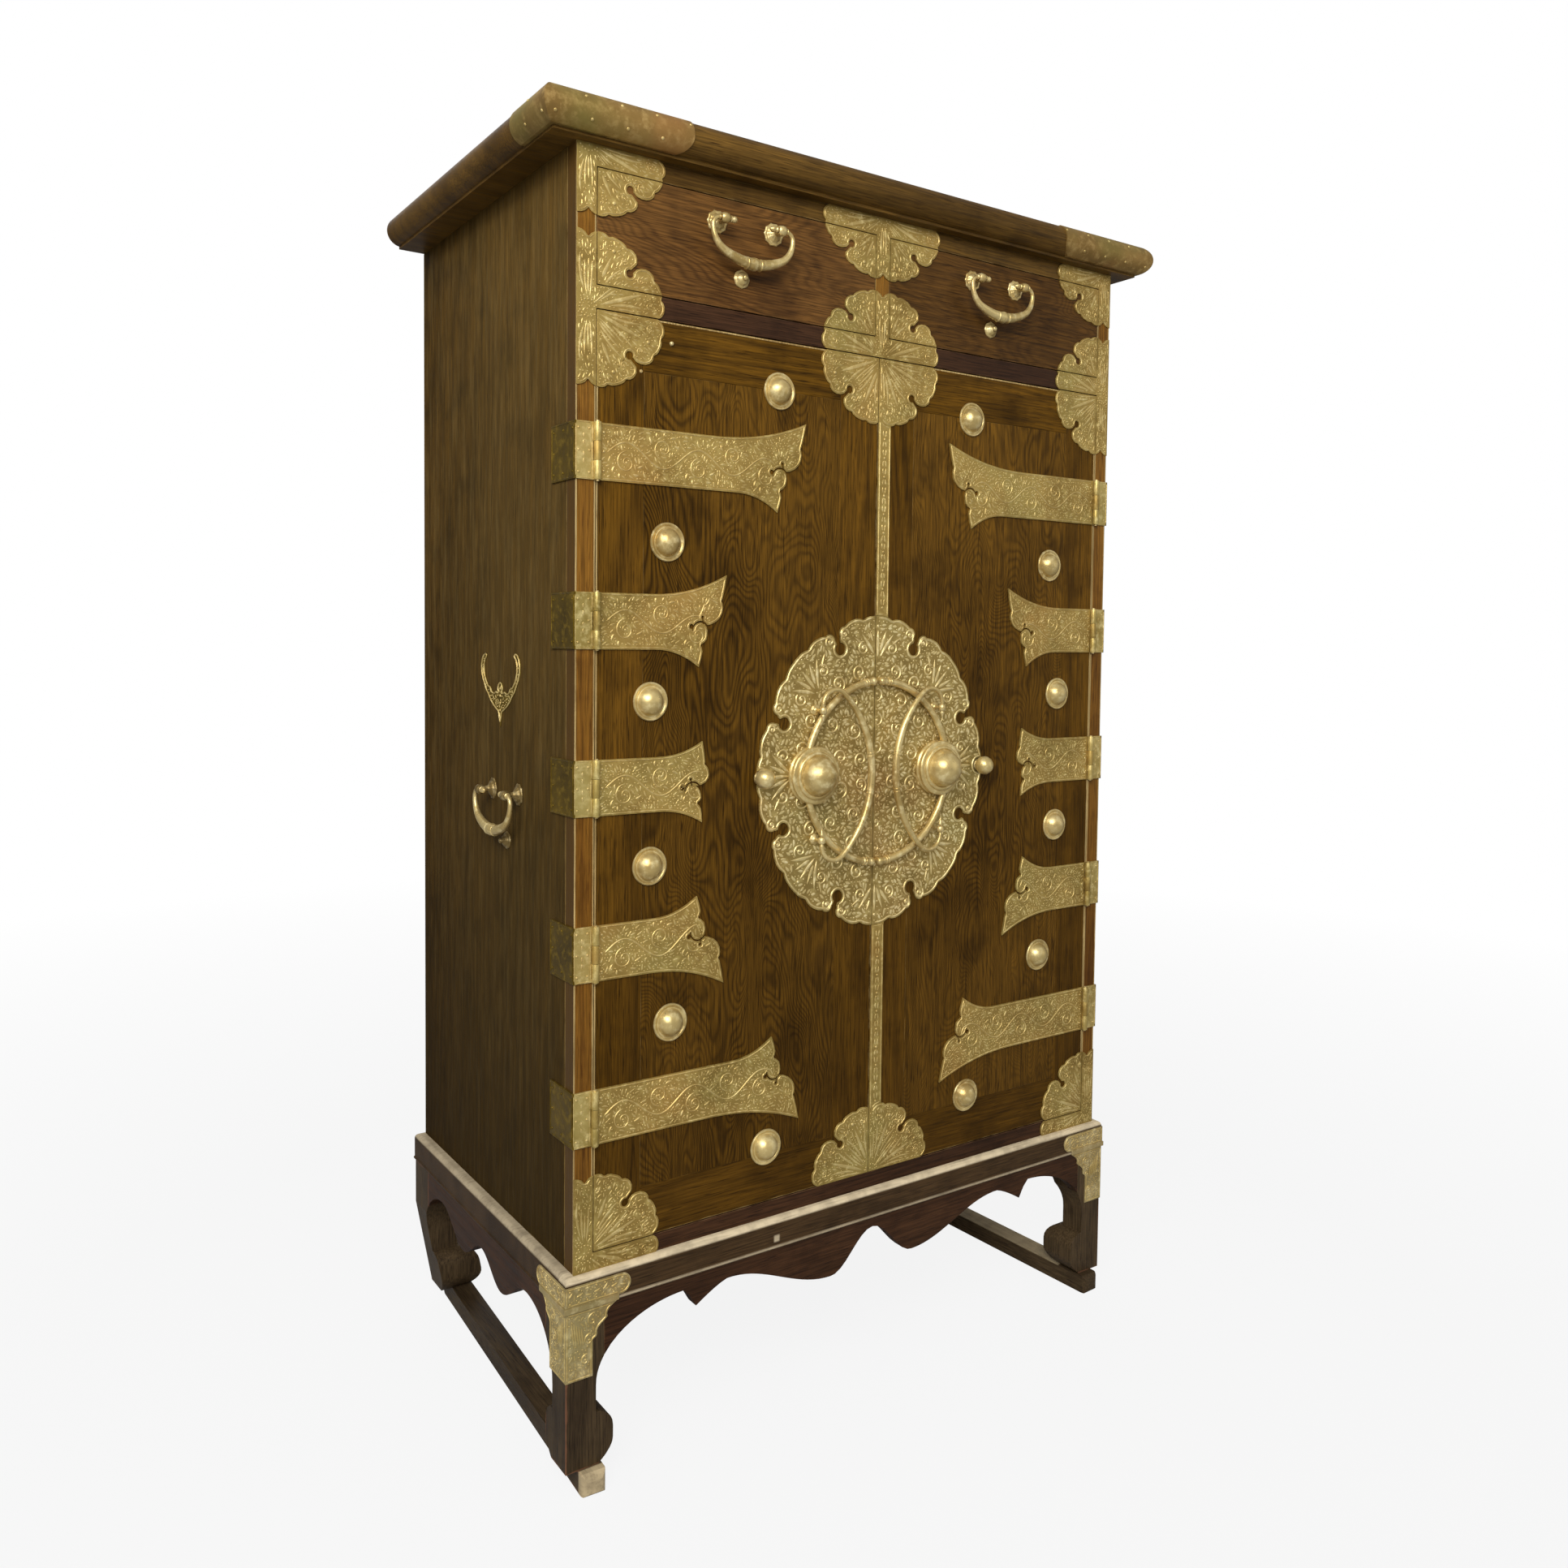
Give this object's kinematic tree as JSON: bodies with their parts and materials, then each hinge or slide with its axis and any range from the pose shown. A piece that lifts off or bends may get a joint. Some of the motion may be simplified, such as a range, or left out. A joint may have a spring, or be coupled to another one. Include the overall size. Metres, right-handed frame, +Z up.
{
  "type": "specimen chest",
  "caption": "Tall two-door cabinet with a row of drawers above, scalloped brass plates, strap hinges, ring pulls, and a scalloped stand on runners.",
  "frame": {"origin": "on the floor under the middle of the whole piece", "axes": "+Z up, front of the cabinet faces -Y, +X to the right as seen from the front"},
  "size_m": [0.9668, 0.5388, 1.55],
  "materials": {
    "carcass_wood": "satin",
    "door_wood": "satin",
    "burl_wood": "satin",
    "drawer_wood": "satin",
    "edge_wood": "satin",
    "dark_wood": "satin",
    "stand_wood": "worn satin",
    "inner_wood": "plain",
    "plate_brass": "aged",
    "fitting_brass": "polished by use"
  },
  "bodies": {
    "cabinet": {"side_panel_left": "carcass_wood", "side_panel_right": "carcass_wood", "back_panel": "carcass_wood", "bottom_board": "inner_wood", "top_board": "carcass_wood", "front_stile_left": "edge_wood", "front_stile_right": "edge_wood", "top_rail": "dark_wood", "middle_rail": "dark_wood", "bottom_rail": "dark_wood", "drawer_mullion": "edge_wood", "dust_board": "inner_wood", "drawer_guides": "inner_wood", "shelf": "inner_wood", "hinge_frame_leaves": "plate_brass", "hinge_pins": "fitting_brass", "frame_plates": "plate_brass", "top_corner_brass": "plate_brass", "stand_corner_brass": "plate_brass", "side_handle_posts": "fitting_brass", "side_bats": "plate_brass", "stand_frame": "stand_wood", "long_aprons": "stand_wood", "side_aprons": "stand_wood", "front_legs": "stand_wood", "back_legs": "stand_wood", "runners": "stand_wood"},
    "door_left": {"door_frame_left": "door_wood", "door_panel_left": "burl_wood", "door_straps_left": "plate_brass", "door_plates_left": "plate_brass", "door_studs_left": "fitting_brass", "medallion_left": "plate_brass", "half_ring_left": "fitting_brass", "dome_knob_left": "fitting_brass", "door_bail_posts_left": "fitting_brass"},
    "drawer_left": {"drawer_front_left": "drawer_wood", "drawer_box_left": "inner_wood", "drawer_plates_left": "plate_brass", "drawer_posts_left": "fitting_brass"},
    "drawer_handle_left": {"drawer_bail_left": "fitting_brass"},
    "door_pull_left": {"door_bail_left": "fitting_brass"},
    "side_handle_left": {"side_bail_left": "fitting_brass"},
    "door_right": {"door_frame_right": "door_wood", "door_panel_right": "burl_wood", "door_straps_right": "plate_brass", "door_plates_right": "plate_brass", "door_studs_right": "fitting_brass", "medallion_right": "plate_brass", "half_ring_right": "fitting_brass", "dome_knob_right": "fitting_brass", "door_bail_posts_right": "fitting_brass", "door_edge_strip": "plate_brass"},
    "drawer_right": {"drawer_front_right": "drawer_wood", "drawer_box_right": "inner_wood", "drawer_plates_right": "plate_brass", "drawer_posts_right": "fitting_brass"},
    "drawer_handle_right": {"drawer_bail_right": "fitting_brass"},
    "door_pull_right": {"door_bail_right": "fitting_brass"},
    "side_handle_right": {"side_bail_right": "fitting_brass"}
  },
  "joints": [
    {"name": "door_left_hinge", "type": "hinge", "parent": "cabinet", "child": "door_left", "pos_m": [-0.4054, -0.2334, 0.8], "axis": [0, 0, -1], "range_deg": [0, 170]},
    {"name": "drawer_left_slide", "type": "slide", "parent": "cabinet", "child": "drawer_left", "axis": [0, -1, 0], "range_m": [0, 0.33]},
    {"name": "drawer_handle_left_swing", "type": "hinge", "parent": "drawer_left", "child": "drawer_handle_left", "pos_m": [-0.21, -0.2468, 1.4535], "axis": [-1, 0, 0], "range_deg": [0, 100]},
    {"name": "door_pull_left_swing", "type": "hinge", "parent": "door_left", "child": "door_pull_left", "pos_m": [-0.099, -0.2461, 0.8], "axis": [0, 0, -1], "range_deg": [0, 120]},
    {"name": "side_handle_left_swing", "type": "hinge", "parent": "cabinet", "child": "side_handle_left", "pos_m": [-0.448, -0.0358, 0.778], "axis": [0, 1, 0], "range_deg": [0, 100]},
    {"name": "door_right_hinge", "type": "hinge", "parent": "cabinet", "child": "door_right", "pos_m": [0.4054, -0.2334, 0.8], "axis": [0, 0, 1], "range_deg": [0, 170]},
    {"name": "drawer_right_slide", "type": "slide", "parent": "cabinet", "child": "drawer_right", "axis": [0, -1, 0], "range_m": [0, 0.33]},
    {"name": "drawer_handle_right_swing", "type": "hinge", "parent": "drawer_right", "child": "drawer_handle_right", "pos_m": [0.196, -0.2468, 1.4535], "axis": [-1, 0, 0], "range_deg": [0, 100]},
    {"name": "door_pull_right_swing", "type": "hinge", "parent": "door_right", "child": "door_pull_right", "pos_m": [0.099, -0.2461, 0.8], "axis": [0, 0, 1], "range_deg": [0, 120]},
    {"name": "side_handle_right_swing", "type": "hinge", "parent": "cabinet", "child": "side_handle_right", "pos_m": [0.448, -0.0358, 0.778], "axis": [0, -1, 0], "range_deg": [0, 100]}
  ]
}
